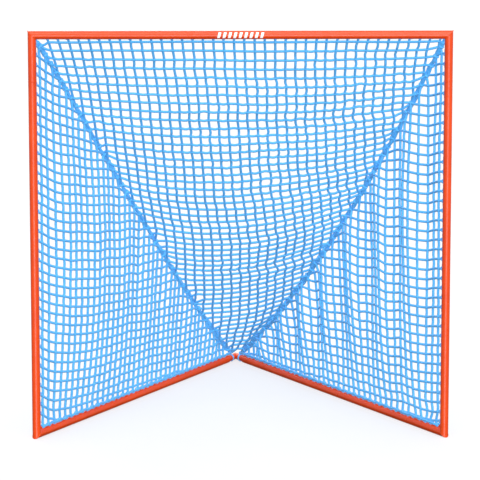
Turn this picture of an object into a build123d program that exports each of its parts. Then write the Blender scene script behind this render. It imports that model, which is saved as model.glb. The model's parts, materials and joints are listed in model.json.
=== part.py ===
"""Lacrosse goal: a square tube mouth, a V-shaped ground frame and a laced, pyramid-shaped cord net.

Millimetres. +Z is up, +Y runs from the mouth to the back and +X is to the right of someone facing the mouth.
The origin is on the ground, at the middle of the whole goal's plan.
"""

import math
import os

from build123d import *

# ---- driving dimensions -------------------------------------------------------------------------
MOUTH_WIDTH = 1828.8
MOUTH_HEIGHT = 1828.8
GOAL_DEPTH = 1676.4  # from the posts' centre line to the point where the ground frame's axes meet

TUBE_R = 19.05  # frame tube, 1.5 in
TUBE_BORE_R = 16.0
SLEEVE_R = 15.9  # the thinner tube that slides inside the frame tube
SLEEVE_BORE_R = 13.8

CORNER_LEG = 228.6  # top corner, from the top of the goal to the joint in the post
SPIGOT_WELDED = 70.0  # length of the spigot held in the corner leg
SPIGOT_FREE = 110.0  # length of the spigot that enters the post
CONNECTOR_EXPOSED = 90.0  # length of each back connector leg left bare, from the axes' corner
CONNECTOR_INSERTED = 120.0
JOINT_GAP = 0.4  # hairline between a tube's end and the next tube

GUSSET_ALONG_RAIL = 30.0
GUSSET_UP_POST = 25.0
GUSSET_THICK = 5.0

LOOP_PITCH = 69.85  # 2.75 in
LOOP_R = 9.0  # outside of the half-round lacing loop
LOOP_BORE_R = 6.8
LOOP_WIDTH = 12.0

LACING_R = 2.75
LACING_LIFT = 3.6  # centre of the lacing cord above the tube's surface
SEAM_CORD_R = 4.0

NET_THICK = 3.0
NET_SAG = 120.0  # how far the net's slope hangs inside the straight line, at its middle
NET_EDGE_GAP = 9.0  # from a net panel's edge to the centre of the cord that it hangs on
NET_CORNER = 26.0  # the side panels stop short of the gusset: this much of their front corner is cut off

BUTTON_R = 4.0
BUTTON_HOLE_R = 4.3
BUTTON_STANDS_OUT = 3.0
BUTTON_FLANGE_R = 5.6
BUTTON_FLANGE_THICK = 1.2
BUTTON_FLANGE_TOP = 12.35  # from the tube's axis, just under the sleeve's wall
BUTTON_DOME = 1.2
BUTTON_FROM_END = 50.0  # from the frame tube's end to the button

SPRING_THICK = 0.8
SPRING_WIDTH = 8.0
SPRING_TOP = 10.5  # centre line of the leg under the button, from the tube's axis
SPRING_FOOT = -12.4  # centre line of the leg on the far wall
SPRING_REACH = 40.0
SPRING_BEND_R = 3.0
SPRING_PAD = 9.0

MARK_STRIPES = 9
MARK_PITCH = 24.0
MARK_WIDTH = 12.0
MARK_HEIGHT = 26.0
MARK_SLANT = math.radians(15)
MARK_THICK = 0.25

# ---- places worked out from them ----------------------------------------------------------------
POST_X = MOUTH_WIDTH / 2 + TUBE_R
BAR_Z = MOUTH_HEIGHT + TUBE_R
RAIL_Z = TUBE_R
HALF_ANGLE = math.atan2(POST_X, GOAL_DEPTH)
CONNECTOR_TIP = SLEEVE_R / math.sin(HALF_ANGLE)
GOAL_LINE_Y = -(GOAL_DEPTH + CONNECTOR_TIP - TUBE_R) / 2  # puts the origin at the middle of the plan
APEX = Vector(0, GOAL_LINE_Y + GOAL_DEPTH, RAIL_Z)
SEAM_Z = BAR_Z + TUBE_R - CORNER_LEG
RAIL_LENGTH = math.hypot(POST_X, GOAL_DEPTH)
CORD_LINE = TUBE_R + LACING_LIFT
UP = Vector(0, 0, 1)
BAR_LOOP_TILT = math.radians(25)  # the crossbar's loops point backwards and this far down
BAR_LOOP_DIR = Vector(0, math.cos(BAR_LOOP_TILT), -math.sin(BAR_LOOP_TILT))
SIDES = {"left": -1, "right": 1}


def top_corner(side):
    return Vector(side * POST_X, GOAL_LINE_Y, BAR_Z)


def foot_corner(side):
    return Vector(side * POST_X, GOAL_LINE_Y, RAIL_Z)


def rail_direction(side):
    """Level, from a post to the back of the goal."""
    return Vector(-side * math.sin(HALF_ANGLE), math.cos(HALF_ANGLE), 0)


def outward(side):
    """Level, square to the rail, away from the inside of the goal."""
    return Vector(side * math.cos(HALF_ANGLE), math.sin(HALF_ANGLE), 0)


# ---- shapes that repeat -------------------------------------------------------------------------
def rod(start, end, radius):
    axis = end - start
    return extrude(Plane(origin=start, z_dir=axis) * Circle(radius), axis.length)


def tube(start, end, radius, bore):
    return rod(start, end, radius) - rod(start, end, bore)


def mitre(shape, corner, own, other):
    """Cut a tube that leaves the corner along own, to meet the one that leaves it along other."""
    return split(shape, bisect_by=Plane(origin=corner, z_dir=own - other), keep=Keep.TOP)


def half_ring_loops(start, direction, stand, offsets):
    """Half-round loops on a tube, standing along stand, at distances along the tube from start."""
    loops = []
    for offset in offsets:
        seat = Plane(
            origin=start + direction * (offset - LOOP_WIDTH / 2) + stand * TUBE_R,
            x_dir=stand,
            z_dir=direction,
        )
        ring = Circle(LOOP_R) - Circle(LOOP_BORE_R)
        loops.append(extrude(seat * ring, LOOP_WIDTH) - rod(
            start + direction * (offset - LOOP_WIDTH),
            start + direction * (offset + LOOP_WIDTH),
            TUBE_R,
        ))
    return loops


def even_offsets(first, last):
    """Evenly spaced distances from first to last, about one loop pitch apart."""
    count = round((last - first) / LOOP_PITCH)
    return [first + (last - first) * i / count for i in range(count + 1)]


def prism(outline, origin, along, up, thickness):
    """A plate with this outline in the plane of along and up, with its middle at origin."""
    face = make_face(Polyline(*outline, close=True))
    plane = Plane(origin=origin, x_dir=along, z_dir=along.cross(up))
    return extrude(plane * face, thickness / 2, both=True)


# ---- frame --------------------------------------------------------------------------------------
def crossbar():
    reach = Vector(POST_X + 2 * TUBE_R, 0, 0)
    middle = Vector(0, GOAL_LINE_Y, BAR_Z)
    bar = tube(middle - reach, middle + reach, TUBE_R, TUBE_BORE_R)
    for side in SIDES.values():
        bar = mitre(bar, top_corner(side), Vector(-side, 0, 0), -UP)
    return bar


def corner_leg(side):
    corner = top_corner(side)
    end = Vector(corner.X, corner.Y, SEAM_Z + JOINT_GAP)
    leg = tube(end, corner + UP * 2 * TUBE_R, TUBE_R, TUBE_BORE_R)
    return mitre(leg, corner, -UP, Vector(-side, 0, 0))


def post_button_seat(side):
    """Centre of the tube at the post's snap button, the way to the spigot's end, and the button's way out."""
    centre = Vector(side * POST_X, GOAL_LINE_Y, SEAM_Z - BUTTON_FROM_END)
    way_out = Vector(side, 1, 0).normalized()
    return centre, -UP, way_out


def rail_button_seat(side):
    along = -rail_direction(side)
    centre = APEX + along * (CONNECTOR_EXPOSED + BUTTON_FROM_END)
    return centre, along, outward(side)


def button_hole(seat):
    centre, _, way_out = seat
    return rod(centre + way_out * TUBE_BORE_R / 2, centre + way_out * TUBE_R * 2, BUTTON_HOLE_R)


def post_spigot(side):
    x = side * POST_X
    spigot = tube(
        Vector(x, GOAL_LINE_Y, SEAM_Z - SPIGOT_FREE),
        Vector(x, GOAL_LINE_Y, SEAM_Z + SPIGOT_WELDED),
        SLEEVE_R,
        SLEEVE_BORE_R,
    )
    return spigot - button_hole(post_button_seat(side))


def post(side):
    foot = foot_corner(side)
    top = Vector(foot.X, foot.Y, SEAM_Z)
    shaft = tube(foot - UP * 2 * TUBE_R, top, TUBE_R, TUBE_BORE_R)
    shaft = mitre(shaft, foot, UP, rail_direction(side))
    return shaft - button_hole(post_button_seat(side))


def ground_rail(side):
    foot = foot_corner(side)
    along = rail_direction(side)
    end = APEX - along * CONNECTOR_EXPOSED
    rail = tube(foot - along * 2 * TUBE_R, end, TUBE_R, TUBE_BORE_R)
    rail = mitre(rail, foot, along, UP)
    return rail - button_hole(rail_button_seat(side))


def foot_gusset(side):
    foot = foot_corner(side)
    along = rail_direction(side)
    sunk = TUBE_R - 1
    outline = [
        (sunk, sunk),
        (TUBE_R + GUSSET_ALONG_RAIL, sunk),
        (TUBE_R + GUSSET_ALONG_RAIL, TUBE_R),
        (TUBE_R, TUBE_R + GUSSET_UP_POST),
        (sunk, TUBE_R + GUSSET_UP_POST),
    ]
    plate = prism(outline, foot, along, UP, GUSSET_THICK)
    plate -= rod(foot - UP * TUBE_R, foot + UP * 100, TUBE_R)
    return plate - rod(foot, foot + along * 100, TUBE_R)


def back_connector_leg(side):
    """One leg of the V-shaped tube that joins the two ground rails."""
    along = -rail_direction(side)
    leg = tube(
        APEX - along * 4 * SLEEVE_R,
        APEX + along * (CONNECTOR_EXPOSED + CONNECTOR_INSERTED),
        SLEEVE_R,
        SLEEVE_BORE_R,
    )
    leg = mitre(leg, APEX, along, -rail_direction(-side))
    return leg - button_hole(rail_button_seat(side))


# ---- snap buttons -------------------------------------------------------------------------------
def snap_button(seat):
    centre, _, way_out = seat
    flange_base = BUTTON_FLANGE_TOP - BUTTON_FLANGE_THICK
    tip = TUBE_R + BUTTON_STANDS_OUT
    profile = make_face(Polyline(
        (0, flange_base),
        (BUTTON_FLANGE_R, flange_base),
        (BUTTON_FLANGE_R, BUTTON_FLANGE_TOP),
        (BUTTON_R, BUTTON_FLANGE_TOP),
        (BUTTON_R, tip - BUTTON_DOME),
        (BUTTON_R - BUTTON_DOME, tip),
        (0, tip),
        close=True,
    ))
    turned = revolve(Plane.XZ * profile, Axis.Z)
    return Plane(origin=centre, z_dir=way_out) * turned


def button_spring(seat):
    """V-shaped leaf spring: one leg under the button's flange, the other on the sleeve's far wall."""
    centre, along, way_out = seat
    line = Polyline((-SPRING_PAD, SPRING_TOP), (SPRING_PAD, SPRING_TOP), (SPRING_REACH, SPRING_BEND_R))
    line += ThreePointArc(
        (SPRING_REACH, SPRING_BEND_R),
        (SPRING_REACH + SPRING_BEND_R, 0),
        (SPRING_REACH, -SPRING_BEND_R),
    )
    line += Line((SPRING_REACH, -SPRING_BEND_R), (-SPRING_PAD, SPRING_FOOT))
    strip = trace(line, SPRING_THICK)
    plane = Plane(origin=centre, x_dir=along, z_dir=along.cross(way_out))
    return extrude(plane * strip, SPRING_WIDTH / 2, both=True)


# ---- lacing -------------------------------------------------------------------------------------
def bar_lacing():
    start = Vector(-POST_X, GOAL_LINE_Y, BAR_Z)
    along = Vector(1, 0, 0)
    edge = TUBE_R + LOOP_PITCH / 2
    loops = half_ring_loops(start, along, BAR_LOOP_DIR, even_offsets(edge, 2 * POST_X - edge))
    line = start + BAR_LOOP_DIR * CORD_LINE
    cord = rod(line + along * 2 * TUBE_R, line + along * 2 * (POST_X - TUBE_R), LACING_R)
    return loops, cord


def post_lacing(side):
    start = foot_corner(side)
    stand = rail_direction(side)
    low = TUBE_R + GUSSET_UP_POST
    high = BAR_Z - RAIL_Z - 2 * TUBE_R
    spans = even_offsets(low + LOOP_PITCH / 2, high - LOOP_PITCH / 2)
    loops = half_ring_loops(start, UP, stand, spans)
    line = start + stand * CORD_LINE
    cord = rod(line + UP * (low + LACING_R), line + UP * high, LACING_R)
    return loops, cord


def rail_lacing(side):
    start = foot_corner(side)
    along = rail_direction(side)
    low = TUBE_R + GUSSET_ALONG_RAIL
    high = RAIL_LENGTH - CONNECTOR_EXPOSED
    spans = even_offsets(low + LOOP_PITCH / 2, high - LOOP_PITCH / 2)
    loops = half_ring_loops(start, along, UP, spans)
    line = start + UP * CORD_LINE
    cord = rod(line + along * (low + LACING_R), line + along * high, LACING_R)
    return loops, cord


# ---- net ----------------------------------------------------------------------------------------
NET_TOP = Vector(0, GOAL_LINE_Y, BAR_Z) + BAR_LOOP_DIR * CORD_LINE
NET_BACK = Vector(0, APEX.Y - 3 * SLEEVE_R, RAIL_Z + SLEEVE_R + 2 * SEAM_CORD_R)


def sagging_curve(start, end, sag):
    """The arc from start to end that hangs below the straight line by sag, square to it, at its middle.

    start and end are (distance back, height) pairs.
    """
    run = end[0] - start[0]
    fall = start[1] - end[1]
    chord = math.hypot(run, fall)
    middle = (
        (start[0] + end[0]) / 2 - sag * fall / chord,
        (start[1] + end[1]) / 2 - sag * run / chord,
    )
    return ThreePointArc(start, middle, end)


def net_profile(lift):
    """The net's slope seen from the side, moved down by lift, as (distance back, height) points."""
    return (NET_TOP.Y, NET_TOP.Z - lift), (NET_BACK.Y, NET_BACK.Z - lift)


def side_plane(side, inset):
    """The upright plane of a side panel, facing the inside, moved that way by inset."""
    return Plane(origin=foot_corner(side) - outward(side) * inset, z_dir=-outward(side))


def net_top_panel():
    """The slope from the crossbar to the back, a thin sheet bent to the net's sag."""
    upper = sagging_curve(*net_profile(0), NET_SAG)
    ribbon = trace(upper, NET_THICK)
    sheet = extrude(Plane.YZ * ribbon, POST_X, both=True)
    for side in SIDES.values():
        sheet = split(sheet, bisect_by=side_plane(side, NET_EDGE_GAP), keep=Keep.TOP)
    near_bar = Plane(origin=NET_TOP + Vector(0, NET_EDGE_GAP / 2, 0), z_dir=(0, 1, 0))
    near_back = Plane(origin=NET_BACK - Vector(0, 2 * NET_EDGE_GAP, 0), z_dir=(0, -1, 0))
    sheet = split(sheet, bisect_by=near_bar, keep=Keep.TOP)
    return split(sheet, bisect_by=near_back, keep=Keep.TOP)


def along_rail(y):
    """Distance along a rail's axis of the point that is y from front to back."""
    return (y - GOAL_LINE_Y) / math.cos(HALF_ANGLE)


def seam_curve(lift):
    """The seam between slope and side, drawn in the side's own plane: (along the rail, height)."""
    (y0, z0), (y1, z1) = net_profile(lift)
    start = (along_rail(y0), z0)
    end = (along_rail(y1), z1)
    sag = NET_SAG * math.hypot(end[0] - start[0], z0 - z1) / math.hypot(y1 - y0, z0 - z1)
    return sagging_curve(start, end, sag * math.cos(HALF_ANGLE))


def side_drawing_plane(side):
    """Plane whose x runs along the rail and whose y is height above the ground."""
    along = rail_direction(side)
    origin = Vector(side * POST_X, GOAL_LINE_Y, 0)
    return Plane(origin=origin, x_dir=along, z_dir=along.cross(UP))


def seam_cord(side):
    curve = side_drawing_plane(side) * seam_curve(0)
    start = Plane(origin=curve @ 0, z_dir=curve % 0)
    return sweep(start * Circle(SEAM_CORD_R), path=curve)


def side_net(side):
    """The upright triangle between post, rail and seam."""
    front = CORD_LINE + NET_EDGE_GAP
    low = RAIL_Z + CORD_LINE + NET_EDGE_GAP
    slope = seam_curve(2 * NET_EDGE_GAP)
    top = slope @ 0
    back = slope @ 1
    outline = slope + Polyline(
        (back.X, back.Y),
        (back.X, low),
        (front + NET_CORNER, low),
        (front, low + NET_CORNER),
        (front, top.Y),
        (top.X, top.Y),
    )
    sheet = make_face(outline)
    sheet &= Pos(front, low) * Rectangle(3 * GOAL_DEPTH, 2 * MOUTH_HEIGHT, align=(Align.MIN, Align.MIN))
    return extrude(side_drawing_plane(side) * sheet, NET_THICK / 2, both=True)


# ---- mark ---------------------------------------------------------------------------------------
def crossbar_mark():
    """A row of plain slanted stripes printed on the front of the crossbar, as thin skins on the tube."""
    middle = Vector(0, GOAL_LINE_Y, BAR_Z)
    reach = Vector(MARK_STRIPES * MARK_PITCH, 0, 0)
    skin = tube(middle - reach, middle + reach, TUBE_R + MARK_THICK, TUBE_R)
    front = Plane(origin=middle, x_dir=(1, 0, 0), z_dir=(0, -1, 0))
    half_width = MARK_WIDTH / 2
    half_height = MARK_HEIGHT / 2
    lean = half_height * math.tan(MARK_SLANT)
    stripe = make_face(Polyline(
        (-half_width - lean, -half_height),
        (half_width - lean, -half_height),
        (half_width + lean, half_height),
        (-half_width + lean, half_height),
        close=True,
    ))
    places = [(number - (MARK_STRIPES - 1) / 2) * MARK_PITCH for number in range(MARK_STRIPES)]
    return Compound([skin & extrude(front * Pos(x, 0) * stripe, 2 * TUBE_R) for x in places])


# ---- all the pieces -----------------------------------------------------------------------------
def all_pieces():
    bar_loops, bar_cord = bar_lacing()
    pieces = {
        "crossbar": crossbar(),
        "crossbar_mark": crossbar_mark(),
        "crossbar_lacing_loops": Compound(bar_loops),
        "crossbar_lacing_cord": bar_cord,
        "net_top_panel": net_top_panel(),
    }
    for name, side in SIDES.items():
        post_loops, post_cord = post_lacing(side)
        rail_loops, rail_cord = rail_lacing(side)
        pieces |= {
            f"{name}_corner_leg": corner_leg(side),
            f"{name}_post_spigot": post_spigot(side),
            f"{name}_post": post(side),
            f"{name}_ground_rail": ground_rail(side),
            f"{name}_foot_gusset": foot_gusset(side),
            f"{name}_back_connector_leg": back_connector_leg(side),
            f"{name}_post_button": snap_button(post_button_seat(side)),
            f"{name}_post_button_spring": button_spring(post_button_seat(side)),
            f"{name}_rail_button": snap_button(rail_button_seat(side)),
            f"{name}_rail_button_spring": button_spring(rail_button_seat(side)),
            f"{name}_post_lacing_loops": Compound(post_loops),
            f"{name}_post_lacing_cord": post_cord,
            f"{name}_rail_lacing_loops": Compound(rail_loops),
            f"{name}_rail_lacing_cord": rail_cord,
            f"{name}_seam_cord": seam_cord(side),
            f"net_{name}_side": side_net(side),
        }
    return pieces


os.makedirs("parts", exist_ok=True)
for node, shape in all_pieces().items():
    export_step(shape, f"parts/{node}.step")
    print(f"{node:28s} volume {shape.volume:12.0f}  size {shape.bounding_box().size}")
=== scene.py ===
"""Looks for a lacrosse goal: powder-coated tube frame, laced cord net, lacing and welds.

Metres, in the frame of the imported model: +Z up, +Y from the mouth to the back, +X to the right of someone who
faces the mouth. The net's knots are settled by a small seeded solver in numpy, and every cord of the net is
then a real tube that follows its knots.
"""

import itertools
import json
import math

import bpy
import numpy as np
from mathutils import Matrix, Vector


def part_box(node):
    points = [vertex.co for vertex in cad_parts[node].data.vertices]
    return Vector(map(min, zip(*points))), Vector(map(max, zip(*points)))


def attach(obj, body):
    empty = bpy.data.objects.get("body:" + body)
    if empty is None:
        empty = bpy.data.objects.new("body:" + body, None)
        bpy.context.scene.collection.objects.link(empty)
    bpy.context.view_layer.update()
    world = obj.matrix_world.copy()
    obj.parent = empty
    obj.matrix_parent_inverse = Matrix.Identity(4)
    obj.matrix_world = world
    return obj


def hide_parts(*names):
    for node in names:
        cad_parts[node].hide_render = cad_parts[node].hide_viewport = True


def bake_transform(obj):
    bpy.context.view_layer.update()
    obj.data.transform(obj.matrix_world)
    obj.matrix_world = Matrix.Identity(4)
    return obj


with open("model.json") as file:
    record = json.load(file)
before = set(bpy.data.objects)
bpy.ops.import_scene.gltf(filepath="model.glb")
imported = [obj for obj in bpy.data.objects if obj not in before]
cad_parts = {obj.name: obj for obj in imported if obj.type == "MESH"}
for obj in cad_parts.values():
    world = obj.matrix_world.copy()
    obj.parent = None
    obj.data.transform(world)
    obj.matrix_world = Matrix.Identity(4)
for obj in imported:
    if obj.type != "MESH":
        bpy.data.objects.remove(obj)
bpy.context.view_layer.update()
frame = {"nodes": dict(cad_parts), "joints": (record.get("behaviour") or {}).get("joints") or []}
SEED = 20
rng = np.random.default_rng(SEED)

# ---- driving sizes ------------------------------------------------------------------------------
CORD_R = 0.0059
CORD_STEPS = 5  # points on a cord between two knots
CORD_SIDES = 6
SLOPE_BOW = 0.004  # how far the slope's slack cords may stray between two knots
SIDE_BOW = 0.0018  # and the sides' cords
KNOT_SIZE = (1.42, 1.42, 1.25)  # half a knot's width, length and thickness, in parts of CORD_R
KNOT_GRID = (8, 4)  # its faces round and from bottom to top
KNOT_SHOULDER = 0.12
KNOT_GIRTH = 0.036  # the length of cord whose braid is laid round a knot
FIRST_CELL = 0.6  # part of a cell between a lacing cord and the first knot
NEAREST = 0.35  # no knot is nearer than this part of a cell to the edge that its cord is tied to
TIE_SPARE = 1.02  # how long a cord's tied ends are cut, in parts of the gap that they cross

SLOPE_MESH = 0.0472  # knot to knot, down a column
SLOPE_ROW_MESH = 0.0456  # along a row, whose cords stay a little crumpled
SLOPE_COLUMNS = 39
SLOPE_COLUMN_PITCH = 0.0467  # along the crossbar
SLOPE_SHIFT = 0.017  # the columns start nearer the right corner
SLOPE_ROWS = 51
SLOPE_HEIGHT = 51.5  # in cells, from the crossbar to the back point
SLOPE_TAPER = 0.93  # the cut narrows by this share of its width at the back point
SLOPE_SQUEEZE = 0.045  # the columns draw together by this share within a few rows of the crossbar
SQUEEZE_ROWS = 2.5
SLOPE_SWAY = 0.026  # and drift this far to the right about half-way down
SWAY_START, SWAY_SPAN = 0.30, 0.26  # in parts of the slope's height
SLOPE_DROOP = 0.068  # how far the slope's middle hangs below the seams
DROOP_SHAPE = {"left": 3.3, "right": 1.6}  # it falls off steeply at the left seam and gently at the right
DROOP_LENGTH = 0.88  # the part of the slope's height that droops; the rest is pulled up a little
DROOP_SKEW = 0.85  # below 1, the droop is deepest above its middle
LEAST_DROOP = -0.15
DROOP_FORWARD = 0.55  # the droop also leans to the mouth by this share
TIES_EARLY = {"left": -0.04, "right": 0.14}  # the rows' ends are tied this share higher on each seam
CREASE = 0.003  # how far a crease shifts the slope's cords
FOLD_DEPTH = 0.004  # the depth of the regular folds on the right
FOLD_ROWS = 3.3  # from one regular fold to the next

SIDE_COLUMNS = 40
SIDE_LENGTH = 40.5  # in cells, along the ground rail
SIDE_ROWS = 42
SIDE_ROW_PITCH = 0.0445  # up the post
SIDE_MESH = {"left": (0.0482, 0.0452), "right": (0.0490, 0.0452)}  # along a row, along a column
RAIL_CROWDING = 0.08  # the columns stand this share further apart by the post, and closer at the back
SIDE_DROP = {"left": 0.068, "right": 0.018}  # how far the rows fall within a few cells of the post
DROP_CELLS = 2
SIDE_DIP = {"left": (0.0009, 0.0086), "right": (0.0010, 0.0012)}  # and in each further cell, low and high up
SIDE_FOLDS = {"left": 0.0022, "right": 0.005}  # the size of the random upright folds
PLEAT_CELLS = 5.1  # from one regular pleat to the next
PLEAT_START = 0.8  # cells from the post to the first pleat
PLEAT_DEPTH = {"left": 0.004, "right": 0.018}
PLEAT_LIFT = {"left": 0.002, "right": 0.007}  # how far the rows rise and fall across the pleats
BELLY = {"left": 0.045, "right": 0.020}  # how far each side hangs inwards at its middle
BELLY_CELL, BELLY_CELLS = 6, 9  # the cell from the post where it is deepest, and how wide it is

TIES = 46  # knots that hold the net's edges to each seam cord
TIE_MARGIN = 0.012  # how far below the post's top, and below their own level on the seam, rows are tied
SEAM_SAG = {"left": 0.075, "right": 0.135}
SEAM_LATE = {"left": 0.30, "right": 0.08}  # how much of the sag lies nearer the back
SEAM_INSET = 0.045  # how far the slope draws each seam inwards
GATHERS = {"left": 5, "right": 7}  # cords of the two panels' edges that are bunched along each seam
GATHER_REACH = {"left": (0.010, 0.015), "right": (0.011, 0.022)}  # their spread at the corner and at the back

LACING_R = 0.00275
LACING_BOW = 0.004  # how far the net pulls a lacing cord out between two loops
LOOP_PITCH = 0.06985
LOOP_WIDTH = 0.012
SEAM_R = 0.004
SEAM_STEPS = 12  # points between two ties
SEAM_TURNS = 1.5  # turns of the thinner lacing between two ties
WRAP_R = 0.0021
TUBE_R = 0.01905

SIDES = {"left": -1, "right": 1}
BODY = "goal"
TINY = 1e-12  # keeps a length of nought from being divided by
UP = np.array([0.0, 0.0, 1.0])
DOWN = -UP

# ---- how the net settles ------------------------------------------------------------------------
GRAVITY = 9.81
SETTLE_TIME = 3.5
STEP = 1 / 1200
DAMPING = 0.9965  # the part of its speed that a knot keeps from step to step
CLEAR_EVERY = 8  # steps between two checks for knots inside the tubes
HOLD = 0.004  # how far a knot's own weight can draw it from where its stiff cords were left hanging
PLACED_REACH = 1.012  # a cord reaches at most this part of the gap between two knots as they are placed
CRUSH = (0.9, 0.25)  # a cord pushes back below this part of its reach, with this share of a rod's push
BEND = (0.95, 0.12)  # the same over two cells, so that cords don't fold up
NO_LIMIT = 9.0


def unit(v):
    v = np.asarray(v, float)
    return v / np.linalg.norm(v)


def middle(node):
    low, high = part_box(node)
    return np.array((low + high) / 2)


# ---- places, from the frame ---------------------------------------------------------------------
class Lacing:
    """A lacing cord's line. It runs through evenly spaced loops, and the net pulls it out between them."""

    def __init__(self, start, end, pull, loops):
        self.start = np.asarray(start, float)
        self.length = np.linalg.norm(end - start)
        self.along = unit(end - start)
        self.pull = unit(pull)
        self.loops = loops

    def at(self, distance):
        """Points at these distances from the start."""
        distance = np.atleast_1d(distance)
        first, pitch = self.loops
        bow = LACING_BOW * np.sin(math.pi * (distance - first) / pitch) ** 2
        return self.start + distance[:, None] * self.along + bow[:, None] * self.pull


def loop_places(node, start, along):
    """Distance of the first loop from start, and the distance between loops."""
    corners = np.array([v.co for v in frame["nodes"][node].data.vertices]) - start
    reach = corners @ along
    first = reach.min() + LOOP_WIDTH / 2
    span = reach.max() - LOOP_WIDTH / 2 - first
    return first, span / round(span / LOOP_PITCH)


BAR_CORD = middle("crossbar_lacing_cord")
RAIL_CORD_Z = middle("left_rail_lacing_cord")[2]
GOAL_LINE_Y = middle("crossbar")[1]
BAR_Z = middle("crossbar")[2]
FOOT = {side: np.append(middle(f"{side}_post")[:2], TUBE_R) for side in SIDES}


def rail_direction(side):
    """Level, from the post to the back of the goal."""
    way = middle(f"{side}_rail_lacing_cord") - FOOT[side]
    return unit([way[0], way[1], 0])


RAIL_WAY = {side: rail_direction(side) for side in SIDES}
OUTWARD = {side: unit([sign * RAIL_WAY[side][1], abs(RAIL_WAY[side][0]), 0]) for side, sign in SIDES.items()}
RAIL_AXIS = abs(FOOT["left"][0] / RAIL_WAY["left"][0])  # from the post's axis to the point of the V


def seam_ends(side):
    """Where a seam cord starts, at the top corner, and where it ends, on the back connector."""
    low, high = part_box(f"{side}_seam_cord")
    post_cord = middle(f"{side}_post_lacing_cord")
    top = np.array([post_cord[0], BAR_CORD[1], BAR_CORD[2]])
    back_y = high.y - SEAM_R
    reach = (back_y - FOOT[side][1]) / RAIL_WAY[side][1]
    back = FOOT[side] + RAIL_WAY[side] * reach
    back[2] = low.z + SEAM_R
    return top, back


def lacing_lines():
    """The five lacing lines by name."""
    left, right = (seam_ends(side)[0] for side in SIDES)
    pull = unit(seam_ends("left")[1] * [0, 1, 1] - left * [0, 1, 1])
    along = unit(right - left)
    lines = {"crossbar": Lacing(left, right, pull, loop_places("crossbar_lacing_loops", left, along))}
    for side in SIDES:
        x, y, _ = middle(f"{side}_post_lacing_cord")
        low = np.array([x, y, RAIL_CORD_Z])
        high = np.array([x, y, BAR_CORD[2]])
        places = loop_places(f"{side}_post_lacing_loops", low, UP)
        lines[f"{side}_post"] = Lacing(low, high, RAIL_WAY[side], places)
        end = seam_ends(side)[1]
        end[2] = RAIL_CORD_Z
        places = loop_places(f"{side}_rail_lacing_loops", low, RAIL_WAY[side])
        lines[f"{side}_rail"] = Lacing(low, end, UP, places)
    return lines


LACINGS = lacing_lines()

# ---- the net's knots ----------------------------------------------------------------------------


class Web:
    """Knots and the cords between them. A cord is a list of knots and the flat lengths between them."""

    def __init__(self):
        self.points = []
        self.free = []
        self.creases = []
        self.links = []
        self.cords = {}
        self.crossings = {}

    def knot(self, place, free=True, crease=(0, 0, 0)):
        """A knot at a place. crease is how far the cords' kept folds move it, once it has settled."""
        self.points.append(np.asarray(place, float))
        self.free.append(free)
        self.creases.append(np.asarray(crease, float))
        return len(self.points) - 1

    def gap(self, a, b):
        return np.linalg.norm(self.points[b] - self.points[a])

    def cord(self, piece, knots, lengths):
        """A cord through knots. It may reach less far than its length, where it stays crumpled."""
        self.cords.setdefault(piece, []).append((knots, lengths))
        part, push = CRUSH
        for a, b, length in zip(knots, knots[1:], lengths):
            reach = min(length, PLACED_REACH * self.gap(a, b))
            self.links.append((a, b, part * reach, reach, push))
        part, push = BEND
        for a, b, one, two in zip(knots, knots[2:], lengths, lengths[1:]):
            reach = min(one + two, self.gap(a, b))
            self.links.append((a, b, part * reach, NO_LIMIT, push))


def seam_point(side, t):
    """A point on a seam: it hangs below the straight line, and the slope draws it inwards."""
    top, back = seam_ends(side)
    way = unit(back - top)
    droop = unit(DOWN - way * (DOWN @ way))
    arch = 4 * t * (1 - t)
    late = 1 + SEAM_LATE[side] * (2 * t - 1)
    return top + (back - top) * t + droop * SEAM_SAG[side] * arch * late - OUTWARD[side] * SEAM_INSET * arch


def seam_chain(web, side):
    """The seam cord's ties, held where the tight seam hangs."""
    return [web.knot(seam_point(side, k / TIES), False) for k in range(TIES + 1)]


def nearest_tie(seam, t):
    """The seam's tie nearest to a share of its length. The topmost one holds no cords of the net."""
    return seam[min(max(round(t * TIES), 1), TIES)]


def smooth_noise(shape, cells, scale):
    """A seeded smooth field over a grid, with bumps about cells = (high, wide) in size."""
    rows, columns = shape
    high, wide = cells
    coarse = rng.normal(0, scale, (int(rows / high) + 4, int(columns / wide) + 4))
    y = np.arange(rows) / high
    x = np.arange(columns) / wide
    iy, ix = y.astype(int), x.astype(int)
    fy = (y - iy)[:, None]
    fx = (x - ix)[None, :]
    fy, fx = fy * fy * (3 - 2 * fy), fx * fx * (3 - 2 * fx)

    def corner(a, b):
        return coarse[np.ix_(iy + a, ix + b)]

    return (corner(0, 0) * (1 - fy) * (1 - fx) + corner(0, 1) * (1 - fy) * fx
            + corner(1, 0) * fy * (1 - fx) + corner(1, 1) * fy * fx)


def weave(web, piece, grid, ends, row_mesh, column_mesh):
    """Join a panel's knots into rows and columns.

    grid[r][c] is a knot or None. ends(kind, r, c, last) gives the knot that a row or column is tied to,
    before its first or after its last knot, which is at r, c. The meshes are the cord from knot to knot.
    """
    rows, columns = len(grid), len(grid[0])
    lines = [("row", row_mesh, [(r, c) for c in range(columns)]) for r in range(rows)]
    lines += [("column", column_mesh, [(r, c) for r in range(rows)]) for c in range(columns)]
    for kind, mesh, cells in lines:
        held = [(r, c) for r, c in cells if grid[r][c] is not None]
        if not held:
            continue
        knots = [grid[r][c] for r, c in held]
        lengths = [mesh] * (len(knots) - 1)
        first = ends(kind, *held[0], False)
        last = ends(kind, *held[-1], True)
        knots = [first, *knots, last]
        start, end = (TIE_SPARE * web.gap(*pair) for pair in (knots[:2], knots[-2:]))
        web.cord(piece, knots, [start, *lengths, end])
    web.crossings[piece] = [k for line in grid for k in line if k is not None]


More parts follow.
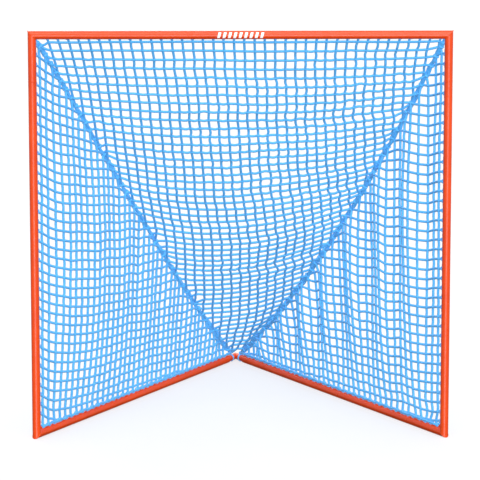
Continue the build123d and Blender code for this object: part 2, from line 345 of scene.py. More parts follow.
def slope_panel(web, seams):
    """The slope: rows across, columns from the crossbar down, both ending on the seam cords."""
    half = (SLOPE_COLUMNS + 0.5) / 2
    shift = SLOPE_SHIFT / SLOPE_COLUMN_PITCH
    across = [c - (SLOPE_COLUMNS - 1) / 2 + shift for c in range(SLOPE_COLUMNS)]
    down = [FIRST_CELL + r for r in range(SLOPE_ROWS)]
    size = (len(down), len(across))
    lift = smooth_noise(size, (7, 7), 0.005)
    sideways = smooth_noise(size, (1.1, 11), CREASE)
    bunching = smooth_noise(size, (1.2, 9), CREASE)
    phase = smooth_noise(size, (9, 10), 1.0)
    fall = unit(seam_ends("left")[1] * [0, 1, 1] - seam_ends("left")[0] * [0, 1, 1])
    out = np.cross([1, 0, 0], fall)

    def edge(v):
        return half * (1 - SLOPE_TAPER * v / SLOPE_HEIGHT)

    def column(u, v):
        """Where a column that starts at u runs at row v, in cells from the middle."""
        drift = math.sin(math.pi / 2 * min(1, max(0, v / SLOPE_HEIGHT - SWAY_START) / SWAY_SPAN)) ** 2
        squeeze = 1 - SLOPE_SQUEEZE * (1 - math.exp(-v / SQUEEZE_ROWS))
        return u * squeeze + SLOPE_SWAY / SLOPE_COLUMN_PITCH * drift

    def tie(side, v):
        """How far down its seam a row is tied."""
        share = min(v / SLOPE_HEIGHT, 1)
        return share * (1 - TIES_EARLY[side] * (1 - share**5))

    def crease(r, c, share):
        """Folds along the rows: regular and deep on the right, where the net is slack, faint on the left."""
        slack = 0.7 + 0.8 * share
        turn = 2 * math.pi * r / FOLD_ROWS + 1.5 * phase[r, c]
        deep = FOLD_DEPTH * share
        fade = min(1, r / 3) * math.sin(math.pi * share) ** 0.3
        aside = slack * sideways[r, c] + deep * math.sin(turn)
        bunch = 0.6 * (slack * bunching[r, c] + deep * math.cos(turn))
        return fade * (aside * np.array([1, 0, 0]) + bunch * fall + bunch * out)

    grid = []
    for r, v in enumerate(down):
        left, right = (seam_point(side, tie(side, v)) for side in SIDES)
        line = []
        for c, u in enumerate(across):
            place = column(u, v)
            if edge(v) - abs(place) < NEAREST:
                line.append(None)
                continue
            share = (place + edge(v)) / (2 * edge(v))
            side = "left" if share < 0.5 else "right"
            across_it = 1 - abs(2 * share - 1) ** DROOP_SHAPE[side]
            down_it = math.sin(math.pi * (v / SLOPE_HEIGHT / DROOP_LENGTH) ** DROOP_SKEW)
            belly = SLOPE_DROOP * across_it * max(down_it, LEAST_DROOP)
            drop = np.array([0, -DROOP_FORWARD * belly, lift[r, c] - belly])
            line.append(web.knot(left + (right - left) * share + drop, crease=crease(r, c, share)))
        grid.append(line)
    bar = LACINGS["crossbar"]

    def ends(kind, r, c, last):
        u = across[c]
        if kind == "column" and not last:
            return web.knot(bar.at(bar.length / 2 + u * SLOPE_COLUMN_PITCH)[0], False)
        v = down[r]
        if kind == "row":
            side = "right" if last else "left"
        else:
            side = "right" if column(u, v) > 0 else "left"
            while abs(column(u, v)) < edge(v) and v < SLOPE_HEIGHT:
                v += 0.1
        return nearest_tie(seams[side], tie(side, v))

    weave(web, "slope_net", grid, ends, SLOPE_ROW_MESH, SLOPE_MESH)


def side_panel(web, side, seam):
    """A side: rows from the post to the seam, columns from the rail up to the seam."""
    post, rail = LACINGS[f"{side}_post"], LACINGS[f"{side}_rail"]
    size = (SIDE_ROWS, SIDE_COLUMNS)
    folds = smooth_noise(size, (14, 2.5), SIDE_FOLDS[side])
    phase = smooth_noise(size, (13, 7), 0.55)
    ripple = smooth_noise(size, (5, 5), 0.005)
    kinks = smooth_noise(size, (9, 1.3), 0.003)
    shares = np.linspace(0, 1, 400)
    seam_line = np.array([seam_point(side, t) for t in shares])
    seam_reach = (seam_line - rail.start) @ rail.along
    low_dip, high_dip = SIDE_DIP[side]

    def rail_reach(a):
        share = a / SIDE_LENGTH
        return rail.length * share * (1 + RAIL_CROWDING * (1 - share))

    grid = [[None] * SIDE_COLUMNS for _ in range(SIDE_ROWS)]
    for c in range(SIDE_COLUMNS):
        a = FIRST_CELL + c
        reach = rail_reach(a)
        foot = rail.at(reach)[0]
        head = seam_point(side, np.interp(reach, seam_reach, shares))
        height = head[2] - foot[2]
        hang = BELLY[side] * math.exp(-(((a - BELLY_CELL) / BELLY_CELLS) ** 2)) * min(1, a / 4)
        for r in range(SIDE_ROWS):
            dip = low_dip + (high_dip - low_dip) * r / SIDE_ROWS
            drop = SIDE_DROP[side] * (1 - math.exp(-a / DROP_CELLS)) + dip * a
            rise = (FIRST_CELL + r) * SIDE_ROW_PITCH - drop + ripple[r, c] * min(1, a / 4)
            if not NEAREST * SIDE_ROW_PITCH < rise < height - NEAREST * SIDE_ROW_PITCH:
                continue
            share = rise / height
            fade = min(1, a / 1.5) * min(1, 1.7 * share) * (1 - 0.5 * share**6)
            turn = 2 * math.pi * (a - PLEAT_START) / PLEAT_CELLS + phase[r, c]
            push = (PLEAT_DEPTH[side] * math.sin(turn) + folds[r, c]) * fade
            rise_by = (PLEAT_LIFT[side] * math.cos(turn + 0.8) + kinks[r, c]) * fade
            place = foot + (head - foot) * share - OUTWARD[side] * hang * math.sin(math.pi * share)
            grid[r][c] = web.knot(place, crease=OUTWARD[side] * push - DOWN * rise_by)

    def ends(kind, r, c, last):
        reach = rail_reach(FIRST_CELL + c)
        if kind == "column":
            if not last:
                return web.knot(rail.at(reach)[0], False)
            return nearest_tie(seam, np.interp(reach, seam_reach, shares))
        if not last:
            rise = min((FIRST_CELL + r) * SIDE_ROW_PITCH, post.length - TIE_MARGIN)
            return web.knot(post.at(rise)[0], False)
        height = web.points[grid[r][c]][2]
        t = np.interp(-height + TIE_MARGIN, -seam_line[:, 2], shares)
        low = height - rail.start[2] < 1.3 * SIDE_ROW_PITCH
        if low and np.interp(t, shares, seam_reach) > reach + 2 * SIDE_ROW_PITCH:
            return web.knot(rail.at(reach + 0.6 * SIDE_ROW_PITCH)[0], False)
        return nearest_tie(seam, t)

    weave(web, f"{side}_side_net", grid, ends, *SIDE_MESH[side])


def groups_of(links, count):
    """Links sorted into groups in which no knot appears twice, so that a group is solved at once."""
    used = [set() for _ in range(count)]
    groups = []
    for link in links:
        a, b = link[:2]
        colour = 0
        while colour in used[a] or colour in used[b]:
            colour += 1
        used[a].add(colour)
        used[b].add(colour)
        while len(groups) <= colour:
            groups.append([])
        groups[colour].append(link)
    return groups


def settle(web):
    """Let the knots fall to rest. Cords can't stretch, and they push back softly when pressed short."""
    points = np.array(web.points)
    home = points.copy()
    stiffness = GRAVITY / HOLD * STEP * STEP
    mass = np.array(web.free, float)
    packs = []
    for group in groups_of(web.links, len(points)):
        a, b, low, high, soft = (np.array(x) for x in zip(*group))
        total = mass[a] + mass[b]
        keep = total > 0
        a, b, low, high, soft, total = (x[keep] for x in (a, b, low, high, soft, total))
        packs.append((a, b, low, high, soft, (mass[a] / total)[:, None], (mass[b] / total)[:, None]))
    free = mass > 0
    fall = DOWN * GRAVITY * STEP * STEP
    before = points.copy()
    tubes = frame_tubes()
    for number in range(round(SETTLE_TIME / STEP)):
        ahead = points + (points - before) * DAMPING + fall + (home - points) * stiffness
        before = points
        points = np.where(free[:, None], ahead, points)
        for a, b, low, high, soft, wa, wb in packs:
            gap = points[b] - points[a]
            length = np.sqrt(np.einsum("ij,ij->i", gap, gap)) + TINY
            wrong = length - np.clip(length, low, high)
            wrong = np.where(wrong < 0, wrong * soft, wrong)
            move = gap * (wrong / length)[:, None]
            points[a] += move * wa
            points[b] -= move * wb
        if number % CLEAR_EVERY == 0:
            keep_clear(points, free, tubes)
    web.points = points


def keep_creases(web):
    """Add the folds that the cords keep from being packed, which gravity doesn't pull out."""
    web.points = np.array(web.points) + np.array(web.creases)
    keep_clear(web.points, np.array(web.free), frame_tubes())


def frame_tubes():
    """The frame's tubes as axes: start, end."""
    tubes = []
    for side in SIDES:
        foot = FOOT[side]
        tubes.append((foot, np.array([foot[0], foot[1], BAR_Z])))
        tubes.append((foot, foot + RAIL_WAY[side] * RAIL_AXIS))
    return tubes


def keep_clear(points, free, tubes):
    """Push knots out of the frame's tubes and off the ground."""
    clear = TUBE_R + CORD_R
    for start, end in tubes:
        way = end - start
        share = np.clip((points - start) @ way / (way @ way), 0, 1)
        gap = points - (start + share[:, None] * way)
        length = np.sqrt(np.einsum("ij,ij->i", gap, gap)) + TINY
        inside = free & (length < clear)
        points[inside] += gap[inside] * ((clear - length[inside]) / length[inside])[:, None]
    low = free & (points[:, 2] < 2 * CORD_R)
    points[low, 2] = 2 * CORD_R


# ---- meshes -------------------------------------------------------------------------------------
def new_object(name, data):
    made = bpy.data.objects.new(name, data)
    bpy.context.scene.collection.objects.link(made)
    return made


def line_axes(line, normal, closed=False):
    """The directions along a line, across it and over it, at each of its points."""
    along = np.roll(line, -1, 0) - np.roll(line, 1, 0) if closed else np.gradient(line, axis=0)
    along /= np.linalg.norm(along, axis=1)[:, None]
    across = np.cross(along, normal)
    across /= np.linalg.norm(across, axis=1)[:, None] + TINY
    return along, across, np.cross(across, along)


def circle_angles(count):
    return np.arange(count) / count * 2 * math.pi


class Build:
    """Collects vertices, faces and UVs, then makes one object of them."""

    def __init__(self):
        self.points, self.faces, self.uvs, self.count = [], [], [], 0

    def add(self, points, faces, uvs):
        self.points.append(points)
        self.faces += [tuple(int(i) + self.count for i in face) for face in faces]
        self.uvs += uvs
        self.count += len(points)

    def tube(self, line, radius, normal, sides=6, closed=False, start=0.0):
        """A tube round the points of line. Its UVs are metres along it and turns round it."""
        line = np.asarray(line, float)
        _, across, over = line_axes(line, normal, closed)
        angle = circle_angles(sides)[None, :, None]
        ring = np.cos(angle) * across[:, None, :] + np.sin(angle) * over[:, None, :]
        radius = np.broadcast_to(np.asarray(radius, float), (len(line),))
        points = (line[:, None, :] + ring * radius[:, None, None]).reshape(-1, 3)
        steps = np.linalg.norm(np.diff(line, axis=0), axis=1)
        run = start + np.append(0, np.cumsum(steps))
        if closed:
            run = np.append(run, run[-1] + np.linalg.norm(line[0] - line[-1]))
        spans = len(line) if closed else len(line) - 1
        i = np.repeat(np.arange(spans), sides)
        k = np.tile(np.arange(sides), spans)
        j = (i + 1) % len(line)
        k1 = (k + 1) % sides
        quads = np.stack([i * sides + k, i * sides + k1, j * sides + k1, j * sides + k], 1)
        u0, u1, v0, v1 = run[i], run[i + 1], k / sides, (k + 1) / sides
        corners = np.stack([u0, v0, u0, v1, u1, v1, u1, v0], 1).reshape(-1, 2)
        uvs = list(map(tuple, corners.tolist()))
        faces = quads.tolist()
        if not closed:
            last = (len(line) - 1) * sides
            faces.append(list(range(sides))[::-1])
            faces.append([last + s for s in range(sides)])
            uvs += [(run[0], 0.5)] * sides + [(run[-1], 0.5)] * sides
        self.add(points, faces, uvs)

    def object(self, name, material, replaces=()):
        mesh = bpy.data.meshes.new(name)
        mesh.from_pydata(np.concatenate(self.points).tolist(), [], self.faces)
        layer = mesh.uv_layers.new(name="along_cord")
        layer.data.foreach_set("uv", np.array(self.uvs, np.float32).ravel())
        mesh.shade_smooth()
        mesh.materials.append(material)
        piece = new_object(name, mesh)
        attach(piece, BODY)
        if replaces:
            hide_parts(*replaces)
        return piece


def curve_through(places, lengths, steps, bow_limit=0.0):
    """A smooth line through a cord's knots, which bows where its knots are closer than the cord is long."""
    places = np.asarray(places)
    padded = np.vstack([2 * places[0] - places[1], places, 2 * places[-1] - places[-2]])
    p0, p1, p2, p3 = padded[:-3], padded[1:-2], padded[2:-1], padded[3:]
    t = (np.arange(steps) / steps)[None, :, None]
    a, b, c, d = (p[:, None, :] for p in (p0, p1, p2, p3))
    line = 0.5 * (2 * b + (c - a) * t + (2 * a - 5 * b + 4 * c - d) * t**2 + (3 * b - a - 3 * c + d) * t**3)
    gap = p2 - p1
    span = np.linalg.norm(gap, axis=1)
    spare = np.clip(np.array(lengths) - span, 0, None)
    bow = np.minimum(np.sqrt(4 * span * spare) / math.pi, bow_limit)
    lean = rng.normal(0, 1, (len(span), 3)) + 0.9 * DOWN
    lean -= gap * (np.einsum("ij,ij->i", lean, gap) / (span**2 + TINY))[:, None]
    lean /= np.linalg.norm(lean, axis=1)[:, None] + TINY
    shape = np.sin(math.pi * t) ** 2
    line = line + shape * (lean * bow[:, None])[:, None, :]
    return np.vstack([line.reshape(-1, 3), places[-1:]])


def lump():
    """A knot's shape on a unit cord, its faces and UVs: a body with four low shoulders for its cords."""
    around, rings = KNOT_GRID
    points = [(0, 0, -1)]
    for r in range(1, rings):
        tilt = math.pi * r / rings
        for s in range(around):
            turn = 2 * math.pi * s / around
            reach = math.sin(tilt) * (1 + KNOT_SHOULDER * math.cos(4 * turn))
            points.append((reach * math.cos(turn), reach * math.sin(turn), -math.cos(tilt)))
    points.append((0, 0, 1))
    top = len(points) - 1
    base = 1 + (rings - 2) * around
    faces, places = [], []
    for s in range(around):
        n = (s + 1) % around
        faces.append((0, 1 + n, 1 + s))
        places += [(s + 0.5, 0), (s + 1, 1), (s, 1)]
        faces.append((base + s, base + n, top))
        places += [(s, rings - 1), (s + 1, rings - 1), (s + 0.5, rings)]
        for r in range(rings - 2):
            a, b = 1 + r * around, 1 + (r + 1) * around
            faces.append((a + s, a + n, b + n, b + s))
            places += [(s, r + 1), (s + 1, r + 1), (s + 1, r + 2), (s, r + 2)]
    return np.array(points, float), faces, [(KNOT_GIRTH * u / around, v / rings) for u, v in places]


def net_normal(piece):
    if piece == "slope_net":
        top, back = seam_ends("left")
        return unit(np.cross([1, 0, 0], back - top))
    return OUTWARD[piece.split("_")[0]]


def net_object(web, piece, material, replaces):
    """Every cord of a panel as a tube, with a knot on each crossing."""
    build = Build()
    normal = net_normal(piece)
    bow_limit = SLOPE_BOW if piece == "slope_net" else SIDE_BOW
    for knots, lengths in web.cords[piece]:
        line = curve_through(web.points[knots], lengths, CORD_STEPS, bow_limit)
        build.tube(line, CORD_R, normal, CORD_SIDES, start=rng.uniform(0, 1))
    neighbours = {}
    for knots, _ in web.cords[piece]:
        for before, knot, after in zip(knots, knots[1:], knots[2:]):
            neighbours.setdefault(knot, []).append(unit(web.points[after] - web.points[before]))
    shape, faces, uvs = lump()
    size = np.array(KNOT_SIZE) * CORD_R
    for knot in web.crossings[piece]:
        ways = neighbours.get(knot, [])
        if len(ways) < 2:
            continue
        x = ways[0]
        z = unit(np.cross(x, ways[1]))
        y = np.cross(z, x)
        scale = size * rng.uniform(0.92, 1.12, 3)
        points = web.points[knot] + (shape * scale) @ np.array([x, y, z])
        build.add(points, faces, uvs)
    build.object(piece, material, replaces)


def ring_line(centre, axis, radius, count=10):
    """A closed circle of points round an axis."""
    side = unit(np.cross(axis, [0.31, 0.2, 0.93]))
    over = np.cross(axis, side)
    angle = circle_angles(count)
    return centre + radius * (np.cos(angle)[:, None] * side + np.sin(angle)[:, None] * over)


def hitches_object(web, material):
    """A double turn of net cord round the lacing cord at each place where the net is tied to it."""
    build = Build()
    minor = CORD_R * 0.8
    ends = [knot for cords in web.cords.values() for knots, _ in cords for knot in (knots[0], knots[-1])]
    for line in LACINGS.values():
        for knot in ends:
            if web.free[knot]:
                continue
            offset = web.points[knot] - line.start
            distance = offset @ line.along
            stray = np.linalg.norm(offset - distance * line.along)
            if stray > LACING_BOW + 0.001 or not 0 < distance < line.length:
                continue
            for step in (-1, 1):
                centre = web.points[knot] + line.along * step * minor
                circle = ring_line(centre, line.along, LACING_R + 0.7 * minor, 14)
                build.tube(circle, minor, line.along, 8, closed=True)
    build.object("net_hitches", material)


def borders_object(material):
    """The net's border cords: each runs beside a ground rail's lacing cord, on its inner side."""
    build = Build()
    spacing = 0.012
    above, inwards = 0.0045, 0.0075
    for side in SIDES:
        line = LACINGS[f"{side}_rail"]
        distances = np.arange(0.04, line.length - spacing, spacing)
        wander = rng.normal(0, 0.0008, (len(distances), 3))
        inner = -OUTWARD[side]
        path = line.at(distances) + above * line.pull + inwards * inner + wander
        build.tube(path, CORD_R, inner, 8)
    build.object("net_border_cords", material)


def lacing_object(name, material):
    """A lacing cord from end to end of its CAD node."""
    line, node = LACINGS[name], f"{name}_lacing_cord"
    low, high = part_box(node)
    corners = np.array(list(itertools.product(*zip(low, high))))
    reach = (corners - line.start) @ line.along
    middle_reach = (middle(node) - line.start) @ line.along
    half = reach.max() - middle_reach - LACING_R * 2 * abs(line.along[0] * line.along[1])
    distances = np.linspace(middle_reach - half, middle_reach + half, round(2 * half / 0.008))
    build = Build()
    build.tube(line.at(distances), LACING_R, line.pull, 10)
    for end in (distances[0] + 2 * WRAP_R, distances[-1] - 2 * WRAP_R):
        for step in (-1, 0, 1):
            centre = line.at(end)[0] + line.along * step * 1.8 * WRAP_R
            circle = ring_line(centre, line.along, LACING_R + (0.8 if step else 1.3) * WRAP_R)
            build.tube(circle, WRAP_R, line.along, 6, closed=True)
    build.object(f"{name}_lacing", material, [node])


def seam_object(web, side, chain, material):
    """The seam cord, with a thinner lacing wound round it and the net's edges."""
    places = web.points[chain]
    lengths = np.linalg.norm(np.diff(places, axis=0), axis=1)
    line = curve_through(places, lengths, SEAM_STEPS)
    build = Build()
    build.tube(line, SEAM_R, OUTWARD[side], 10)
    _, across, over = line_axes(line, OUTWARD[side])
    turn = np.arange(len(line)) / SEAM_STEPS * 2 * math.pi * SEAM_TURNS
    wind = (SEAM_R + WRAP_R * 0.9) * (np.cos(turn)[:, None] * across + np.sin(turn)[:, None] * over)
    build.tube(line + wind, WRAP_R, OUTWARD[side], 6)
    low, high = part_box(f"{side}_back_connector_leg")
    leg = (high.z - low.z) / 2
    for step in (-1, 1):
        centre = np.append(line[-1][:2], low.z + leg) + RAIL_WAY[side] * step * WRAP_R
        turn = ring_line(centre, unit(RAIL_WAY[side] + rng.normal(0, 0.05, 3)), leg + WRAP_R, 28)
        turn[:, 2] = np.maximum(turn[:, 2], 1.1 * WRAP_R)
        build.tube(turn, WRAP_R, RAIL_WAY[side], 6, closed=True)
    for knot in chain[1:-1]:
        axis = unit(web.points[knot + 1] - web.points[knot - 1])
        circle = ring_line(web.points[knot], axis, SEAM_R + CORD_R, 12)
        build.tube(circle, CORD_R * 0.85, axis, 6, closed=True)
    build.object(f"{side}_seam_lacing", material, [f"{side}_seam_cord"])


def gathers_object(side, material):
    """The edge cords of both panels, bunched along the seam: strands that wander and cross about its line."""
    shares = np.linspace(0.012, 0.99, 420)
    line = np.array([seam_point(side, t) for t in shares])
    _, across, over = line_axes(line, OUTWARD[side])
    reach = np.interp(shares, [0, 0.6, 1], [*GATHER_REACH[side][:1], *GATHER_REACH[side]])
    reach = reach * np.interp(shares, [0, 0.03, 0.965, 0.99], [0.4, 1, 1, 0.45])
    bends = np.linspace(0, 1, 60)
    smooth = np.ones(7) / 7
    build = Build()
    for _ in range(GATHERS[side]):
        aside, away = (np.interp(shares, bends, rng.uniform(-1, 1, len(bends))) for _ in range(2))
        aside, away = (np.convolve(np.pad(x, 3, "edge"), smooth, "valid") for x in (aside, away))
        path = line + (aside * reach)[:, None] * across + (0.6 * away * reach)[:, None] * over
        build.tube(path, CORD_R * 0.9, OUTWARD[side], CORD_SIDES)
    build.object(f"{side}_seam_gathers", material)


# ---- materials ----------------------------------------------------------------------------------
def new_material(name):
    material = bpy.data.materials.new(name)
    material.use_nodes = True
    nodes = material.node_tree.nodes
    return material, nodes, material.node_tree.links, nodes["Principled BSDF"]


def node(nodes, kind, **values):
    """A node with its properties and inputs set, where _ in a name stands for a space."""
    made = nodes.new(kind)
    for key, value in values.items():
        if hasattr(made, key):
            setattr(made, key, value)
        else:
            made.inputs[key.replace("_", " ")].default_value = value
    return made


def ramp(nodes, stops):
    made = nodes.new("ShaderNodeValToRGB")
    elements = made.color_ramp.elements
    while len(elements) < len(stops):
        elements.new(0.5)
    for element, (place, colour) in zip(elements, stops):
        element.position = place
        element.color = (*colour, 1) if len(colour) == 3 else colour
    return made


def grey(value):
    return (value, value, value)


def maths(nodes, links, operation, *values):
    """A Math node on numbers or outputs."""
    made = node(nodes, "ShaderNodeMath", operation=operation)
    for socket, value in zip(made.inputs, values):
        if isinstance(value, (int, float)):
            socket.default_value = value
        else:
            links.new(value, socket)
    return made.outputs[0]


def noise(nodes, links, source, scale, detail=3.0, rough=0.55):
    made = node(nodes, "ShaderNodeTexNoise", Scale=scale, Detail=detail, Roughness=rough)
    links.new(source, made.inputs["Vector"])
    return made.outputs["Fac"]


def bump(nodes, links, height, shader, distance, strength=1.0):
    made = node(nodes, "ShaderNodeBump", Distance=distance, Strength=strength)
    links.new(height, made.inputs["Height"])
    links.new(made.outputs["Normal"], shader.inputs["Normal"])


def powder_coat():
    """Orange powder coat: fine orange peel, slightly uneven colour, and dull scuffs near the ground."""
    material, nodes, links, shader = new_material("orange_powder_coat")
    place = node(nodes, "ShaderNodeTexCoord").outputs["Object"]
    tone = ramp(nodes, [(0.3, (0.56, 0.042, 0.0004)), (0.7, (0.66, 0.054, 0.0007))])
    links.new(noise(nodes, links, place, 9, 5), tone.inputs["Fac"])
    scuff = ramp(nodes, [(0.60, grey(0)), (0.75, grey(0.35))])
    links.new(noise(nodes, links, place, 70, 8, 0.7), scuff.inputs["Fac"])
    height = node(nodes, "ShaderNodeSeparateXYZ")
    links.new(place, height.inputs["Vector"])
    near_ground = node(nodes, "ShaderNodeMapRange", From_Min=0.25, From_Max=0.0)
    links.new(height.outputs["Z"], near_ground.inputs["Value"])
    amount = maths(nodes, links, "MULTIPLY", scuff.outputs["Color"], near_ground.outputs["Result"])
    mix = node(nodes, "ShaderNodeMixRGB", Color2=(0.32, 0.05, 0.02, 1))
    links.new(amount, mix.inputs["Fac"])
    links.new(tone.outputs["Color"], mix.inputs["Color1"])
    links.new(mix.outputs["Color"], shader.inputs["Base Color"])
    gloss = ramp(nodes, [(0.3, grey(0.26)), (0.7, grey(0.40))])
    links.new(noise(nodes, links, place, 40, 6), gloss.inputs["Fac"])
    links.new(gloss.outputs["Color"], shader.inputs["Roughness"])
    bump(nodes, links, noise(nodes, links, place, 700, 2), shader, 0.00006)
    shader.inputs["Specular IOR Level"].default_value = 0.34
    shader.inputs["Coat Weight"].default_value = 0.08
    shader.inputs["Coat Roughness"].default_value = 0.2
    return material


def braided_cord(name, deep, body, light, strands, twist):
    """Braided nylon: crossing strands with fine fibres, painted shade between them and painted light on their
    crests.
    """
    material, nodes, links, shader = new_material(name)
    uv = node(nodes, "ShaderNodeUVMap", uv_map="along_cord").outputs["UV"]
    place = node(nodes, "ShaderNodeTexCoord").outputs["Object"]
    split = node(nodes, "ShaderNodeSeparateXYZ")
    links.new(uv, split.inputs["Vector"])

    def wave(sign):
        """Ridges that run round the cord as a screw, to the left or to the right."""
        along = maths(nodes, links, "MULTIPLY", split.outputs["X"], twist)
        turn = maths(nodes, links, "MULTIPLY", split.outputs["Y"], sign * strands * 2 * math.pi)
        return maths(nodes, links, "SINE", maths(nodes, links, "ADD", along, turn))

    height = node(nodes, "ShaderNodeMapRange", From_Min=-1.0)
    links.new(maths(nodes, links, "MULTIPLY", wave(1), wave(-1)), height.inputs["Value"])
    fibre = noise(nodes, links, place, 900, 4, 0.7)
    relief = maths(nodes, links, "MULTIPLY_ADD", fibre, 0.3, height.outputs["Result"])
    # the colour runs from painted shade in the grooves (deep), through the cord's own blue (body), to painted
    # light on the crests (light)
    tone = ramp(nodes, [(0.15, deep), (0.55, body), (1.0, light)])
    links.new(relief, tone.inputs["Fac"])
    patch = ramp(nodes, [(0.3, grey(0.88)), (0.7, grey(1.0))])
    links.new(noise(nodes, links, place, 5, 4), patch.inputs["Fac"])
    shade = node(nodes, "ShaderNodeMixRGB", blend_type="MULTIPLY", Fac=1.0)
    links.new(tone.outputs["Color"], shade.inputs["Color1"])
    links.new(patch.outputs["Color"], shade.inputs["Color2"])
    links.new(shade.outputs["Color"], shader.inputs["Base Color"])
    rough = ramp(nodes, [(0.2, grey(0.85)), (0.9, grey(0.6))])
    links.new(relief, rough.inputs["Fac"])
    links.new(rough.outputs["Color"], shader.inputs["Roughness"])
    bump(nodes, links, relief, shader, 0.0006, 0.8)
    shader.inputs["Sheen Weight"].default_value = 0.25
    shader.inputs["Sheen Roughness"].default_value = 0.4
    return material


def metal(name, dark, light, rough_low, rough_high, scale):
    """Bare or plated steel with a fine brushed grain and cloudy tone."""
    material, nodes, links, shader = new_material(name)
    place = node(nodes, "ShaderNodeTexCoord").outputs["Object"]
    tone = ramp(nodes, [(0.3, dark), (0.7, light)])
    links.new(noise(nodes, links, place, scale, 6), tone.inputs["Fac"])
    links.new(tone.outputs["Color"], shader.inputs["Base Color"])
    gloss = ramp(nodes, [(0.3, grey(rough_low)), (0.7, grey(rough_high))])
    links.new(noise(nodes, links, place, scale * 4, 4), gloss.inputs["Fac"])
    links.new(gloss.outputs["Color"], shader.inputs["Roughness"])
    bump(nodes, links, noise(nodes, links, place, scale * 12, 3), shader, 0.00004)
    shader.inputs["Metallic"].default_value = 1.0
    return material


def print_ink():
    """White printed ink, a little thin in places."""
    material, nodes, links, shader = new_material("white_print")
    place = node(nodes, "ShaderNodeTexCoord").outputs["Object"]
    tone = ramp(nodes, [(0.28, (0.80, 0.62, 0.55)), (0.42, (0.90, 0.90, 0.89)), (1.0, (0.95, 0.95, 0.94))])
    links.new(noise(nodes, links, place, 260, 6), tone.inputs["Fac"])
    links.new(tone.outputs["Color"], shader.inputs["Base Color"])
    gloss = ramp(nodes, [(0.3, grey(0.4)), (0.7, grey(0.6))])
    links.new(noise(nodes, links, place, 120), gloss.inputs["Fac"])
    links.new(gloss.outputs["Color"], shader.inputs["Roughness"])
    return material


def floor_paint():
    """A matt grey that also glows, so that the floor stays pale without flooding the goal with light."""
    material, nodes, links, shader = new_material("pale_floor")
    place = node(nodes, "ShaderNodeTexCoord").outputs["Object"]
    tone = ramp(nodes, [(0.3, grey(0.40)), (0.7, grey(0.42))])
    links.new(noise(nodes, links, place, 0.8, 4), tone.inputs["Fac"])
    links.new(tone.outputs["Color"], shader.inputs["Base Color"])
    shader.inputs["Emission Color"].default_value = (1, 1, 1, 1)
    shader.inputs["Emission Strength"].default_value = 0.42
    shader.inputs["Roughness"].default_value = 0.9
    shader.inputs["Specular IOR Level"].default_value = 0.1
    return material


# ---- frame details ------------------------------------------------------------------------------
def weld_bead(build, centre, plane_x, plane_y, size_x, size_y, radius=0.0018):
    """A rippled bead round an ellipse, as where two tubes are welded at a mitre."""
    count = 96
    angle = circle_angles(count)
    line = centre + size_x * np.cos(angle)[:, None] * plane_x + size_y * np.sin(angle)[:, None] * plane_y
    ripple = radius * (1 + 0.22 * np.sin(angle * 24) + rng.normal(0, 0.05, count))
    line[:, 2] = np.maximum(line[:, 2], 1.35 * radius)
    build.tube(line, ripple, np.cross(plane_x, plane_y), 8, closed=True)


def frame_welds(material):
    """The beads on the mitres at the top corners and at the feet."""
    short = TUBE_R - 0.0006
    long = short * math.sqrt(2)
    for side, sign in SIDES.items():
        build = Build()
        foot = FOOT[side]
        corner = np.array([foot[0], foot[1], BAR_Z])
        weld_bead(build, corner, np.array([0.0, 1.0, 0.0]), unit([sign, 0, 1]), short, long)
        weld_bead(build, foot, OUTWARD[side], unit(-RAIL_WAY[side] + DOWN), short, long)
        build.object(f"{side}_welds", material)


def seam_lips(material):
    """The rounded lip where each corner leg slides onto its post."""
    for side in SIDES:
        low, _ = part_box(f"{side}_corner_leg")
        foot = FOOT[side]
        build = Build()
        for step in (-0.0016, 0.0016):
            centre = np.array([foot[0], foot[1], low.z + step])
            build.tube(ring_line(centre, UP, TUBE_R - 0.0004, 48), 0.0013, UP, 8, closed=True)
        build.object(f"{side}_post_seam_lips", material)


def leaf_springs(material):
    """The springs behind the buttons: each is a copy of its CAD node in spring steel, which hides the node."""
    for joint in frame["joints"]:
        button = joint["child"]
        source = frame["nodes"][f"{button}_spring"]
        mesh = source.data.copy()
        mesh.materials.clear()
        mesh.materials.append(material)
        piece = new_object(f"{button}_leaf", mesh)
        piece.matrix_world = source.matrix_world
        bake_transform(piece)
        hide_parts(f"{button}_spring")


# ---- stage --------------------------------------------------------------------------------------
LIGHTS = {  # where each shines from, its width in degrees, its strength
    "key_light": ((2.2, -6.2, 3.2), 24, 1.5),
    "top_light": ((0.3, -2.6, 5.4), 40, 1.5),
    "front_light": ((0.4, -7.0, -1.4), 30, 1.55),
    "back_light": ((-2.0, 6.0, 3.6), 40, 0.8),
}
CAMERA_SIDE, CAMERA_DISTANCE, CAMERA_HEIGHT = -0.17, 11.0, 2.77  # the distance is from the goal line
CAMERA_DOWN, CAMERA_TURN = 8.44, 0.87  # degrees


def make_floor():
    """A level square, which lights and mirrors nothing, so that only the camera sees it."""
    reach = 90.0
    corners = [(x * reach, y * reach, 0) for x, y in ((-1, -1), (1, -1), (1, 1), (-1, 1))]
    mesh = bpy.data.meshes.new("floor")
    mesh.from_pydata(corners, [], [(0, 1, 2, 3)])
    mesh.materials.append(floor_paint())
    floor = new_object("floor", mesh)
    floor.visible_diffuse = False
    floor.visible_glossy = False
    floor.visible_shadow = False


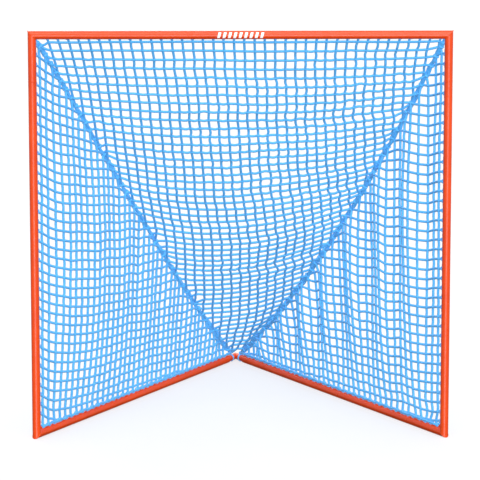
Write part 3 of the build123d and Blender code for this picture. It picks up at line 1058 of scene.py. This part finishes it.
def make_light():
    """A studio: white at eye level, softer above, dark below, and four large far lights."""
    world = bpy.data.worlds.new("studio")
    world.use_nodes = True
    nodes, links = world.node_tree.nodes, world.node_tree.links
    split = node(nodes, "ShaderNodeSeparateXYZ")
    links.new(node(nodes, "ShaderNodeTexCoord").outputs["Generated"], split.inputs["Vector"])
    height = node(nodes, "ShaderNodeMapRange", From_Min=-1.0)
    links.new(split.outputs["Z"], height.inputs["Value"])
    glow = ramp(nodes, [(0.35, grey(0.05)), (0.47, grey(1.0)), (0.60, grey(1.0)), (0.80, grey(0.7))])
    links.new(height.outputs["Result"], glow.inputs["Fac"])
    links.new(glow.outputs["Color"], nodes["Background"].inputs["Color"])
    nodes["Background"].inputs["Strength"].default_value = 1.0
    bpy.context.scene.world = world
    for name, values in LIGHTS.items():
        far_light(name, *values)


def far_light(name, place, spread, strength):
    """A soft light from far off, without shadows."""
    data = bpy.data.lights.new(name, "SUN")
    data.angle = math.radians(spread)
    data.energy = strength
    data.use_shadow = False
    light = new_object(name, data)
    light.location = place
    light.rotation_mode = "QUATERNION"
    light.rotation_quaternion = (-Vector(place)).to_track_quat("-Z", "Y")


def make_camera():
    """In front of the mouth, above it, a little to the left, looking slightly down."""
    data = bpy.data.cameras.new("camera")
    data.lens = 184.7
    data.sensor_width = 36
    data.shift_y = -0.1
    data.clip_end = 400
    camera = new_object("camera", data)
    camera.location = (CAMERA_SIDE, GOAL_LINE_Y - CAMERA_DISTANCE, CAMERA_HEIGHT)
    camera.rotation_euler = (math.pi / 2 - math.radians(CAMERA_DOWN), 0, -math.radians(CAMERA_TURN))
    bpy.context.scene.camera = camera


# ---- all of it ----------------------------------------------------------------------------------
def paint_frame(paint, zinc, spring, ink):
    """A material for each CAD node: everything is painted but the buttons, the springs and the mark."""
    for name, piece in frame["nodes"].items():
        material = paint
        if name.endswith("_spring"):
            material = spring
        elif name.endswith("_button"):
            material = zinc
        elif name == "crossbar_mark":
            material = ink
        for slot in piece.material_slots:
            slot.material = material


def make_net(cord, lacing):
    web = Web()
    seams = {side: seam_chain(web, side) for side in SIDES}
    slope_panel(web, seams)
    for side in SIDES:
        side_panel(web, side, seams[side])
    settle(web)
    keep_creases(web)
    net_object(web, "slope_net", cord, ["net_top_panel"])
    for side in SIDES:
        net_object(web, f"{side}_side_net", cord, [f"net_{side}_side"])
        seam_object(web, side, seams[side], lacing)
        gathers_object(side, cord)
        lacing_object(f"{side}_post", lacing)
        lacing_object(f"{side}_rail", lacing)
    lacing_object("crossbar", lacing)
    hitches_object(web, cord)
    borders_object(cord)


PAINT = powder_coat()
# the cord's blues: painted shade for the grooves, the cord's own colour, painted light for the crests
SKY = ((0.046, 0.335, 0.74), (0.066, 0.385, 0.81), (0.092, 0.44, 0.87))
NET_CORD = braided_cord("sky_blue_braid", *SKY, 4, 1400)
LACING_CORD = braided_cord("sky_blue_lacing", *SKY, 3, 1900)
SPRING_STEEL = metal("blued_spring_steel", (0.20, 0.20, 0.22), (0.34, 0.34, 0.37), 0.30, 0.45, 200)
ZINC = metal("zinc_plate", (0.52, 0.52, 0.50), (0.70, 0.70, 0.68), 0.22, 0.38, 120)
paint_frame(PAINT, ZINC, SPRING_STEEL, print_ink())
leaf_springs(SPRING_STEEL)
make_net(NET_CORD, LACING_CORD)
frame_welds(PAINT)
seam_lips(PAINT)
make_floor()
make_light()
make_camera()
bpy.context.scene.view_settings.view_transform = "Standard"
